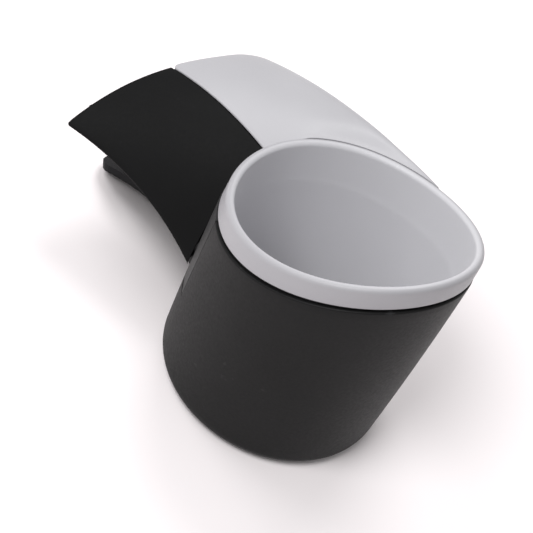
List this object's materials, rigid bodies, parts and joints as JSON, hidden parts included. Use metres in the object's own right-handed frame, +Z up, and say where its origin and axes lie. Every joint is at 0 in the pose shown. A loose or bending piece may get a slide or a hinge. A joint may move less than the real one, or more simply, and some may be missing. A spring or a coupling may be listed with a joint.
{
  "type": "desk clamp cup holder",
  "caption": "Tall cup with a slanted rim on a sprung clamp arm; the arched arm sits on a desktop and the hinged lower jaw grips it from below.",
  "frame": {"origin": "cup axis where it meets the base plane, on the underside of the foot pad", "axes": "+Z up along the cup axis; the clamp arm runs along -X; +Y is the far side of the arm seen with the arm to the left"},
  "size_m": [0.1547, 0.1058, 0.1079],
  "materials": {
    "charcoal": "fine matte moulded texture",
    "grey": "satin moulded light grey",
    "rubber": "matte",
    "steel": "plated",
    "spring_steel": "oiled spring wire",
    "nylon": "natural"
  },
  "bodies": {
    "holder": {"cup_shell": "charcoal", "cup_liner": "grey", "gap_gasket": "rubber", "liner_floor_mat": "rubber", "base_foot_pad": "rubber", "saddle_plate": "charcoal", "arm_hood": "charcoal", "arm_top_panel": "grey", "arm_under_tray": "charcoal", "upper_pad_near": "rubber", "upper_pad_far": "rubber", "hinge_pin": "steel", "spring_sleeve": "nylon", "push_nut_near": "steel", "push_nut_far": "steel", "torsion_spring_near": "spring_steel", "torsion_spring_far": "spring_steel", "saddle_screw_1": "steel", "saddle_screw_2": "steel", "saddle_screw_3": "steel", "saddle_screw_4": "steel", "tray_screw_1": "steel", "tray_screw_2": "steel", "tray_screw_3": "steel", "tray_screw_4": "steel"},
    "jaw": {"lower_jaw": "charcoal", "lower_jaw_pad": "rubber", "hinge_bush_near": "nylon", "hinge_bush_far": "nylon"}
  },
  "joints": [
    {"name": "jaw_swing", "type": "hinge", "parent": "holder", "child": "jaw", "pos_m": [-0.0505, 0, 0.017], "axis": [0, -1, 0], "range_deg": [0, 26], "stiffness_Nm_per_rad": 0.9, "deforming": ["torsion_spring_near", "torsion_spring_far"]}
  ]
}
